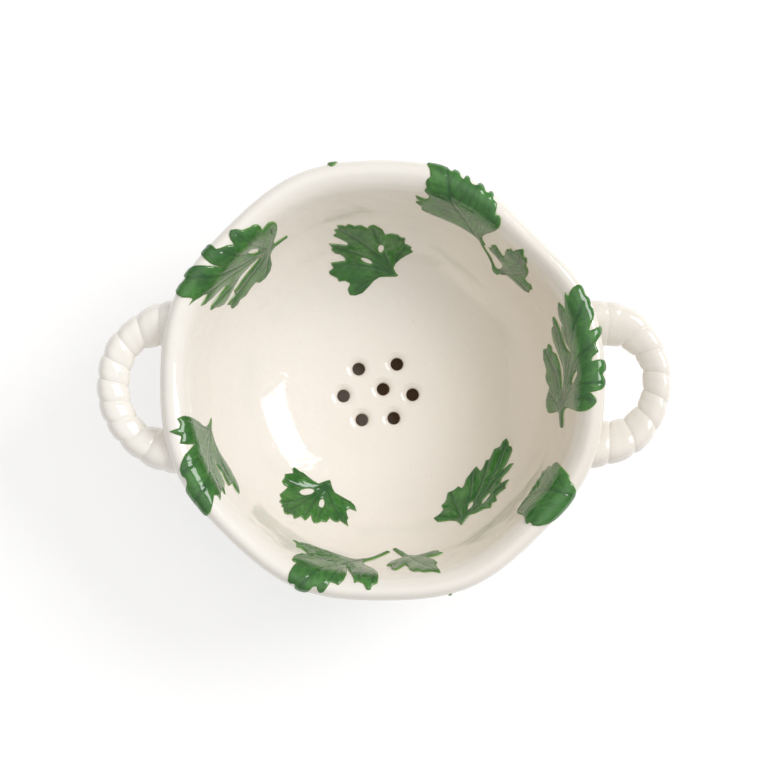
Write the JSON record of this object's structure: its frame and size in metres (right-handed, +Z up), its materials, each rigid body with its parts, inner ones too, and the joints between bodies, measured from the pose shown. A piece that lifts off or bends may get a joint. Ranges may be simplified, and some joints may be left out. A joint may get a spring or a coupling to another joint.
{
  "type": "berry colander bowl",
  "caption": "Round footed earthenware bowl with a pierced floor, a rolled hand-formed rim, twisted rope ear handles and relief leaf sprigs laid over the wall.",
  "frame": {"origin": "middle of the foot ring on the plane it stands on", "axes": "+Z up, out of the bowl's mouth; X across the two rope handles; +Y to the back, which is up in the picture"},
  "size_m": [0.2603, 0.1998, 0.0853],
  "materials": {
    "cream_glaze": "glossy cream glaze over pale earthenware",
    "leaf_green_glaze": "glossy hand-brushed green glaze on raised leaves",
    "bare_foot_clay": "foot ring, glazed on its sides and wiped bare where it stands"
  },
  "bodies": {
    "root": {"bowl_body": "cream_glaze", "foot_ring": "bare_foot_clay", "handle_left": "cream_glaze", "handle_right": "cream_glaze", "leaf_rim_back_left": "leaf_green_glaze", "leaf_inner_back": "leaf_green_glaze", "leaf_pair_rim_back_right": "leaf_green_glaze", "leaf_rim_right": "leaf_green_glaze", "leaf_inner_front_right": "leaf_green_glaze", "leaf_rim_front_right": "leaf_green_glaze", "leaf_rim_left": "leaf_green_glaze", "leaf_inner_front_left": "leaf_green_glaze", "leaf_rim_front": "leaf_green_glaze", "leaf_inner_front_small": "leaf_green_glaze", "leaf_outer_back": "leaf_green_glaze", "leaf_outer_back_small": "leaf_green_glaze", "leaf_outer_front_small": "leaf_green_glaze", "leaf_outer_front_left": "leaf_green_glaze", "leaf_outer_front_right": "leaf_green_glaze", "leaf_outer_left": "leaf_green_glaze", "leaf_outer_right": "leaf_green_glaze"}
  },
  "joints": []
}
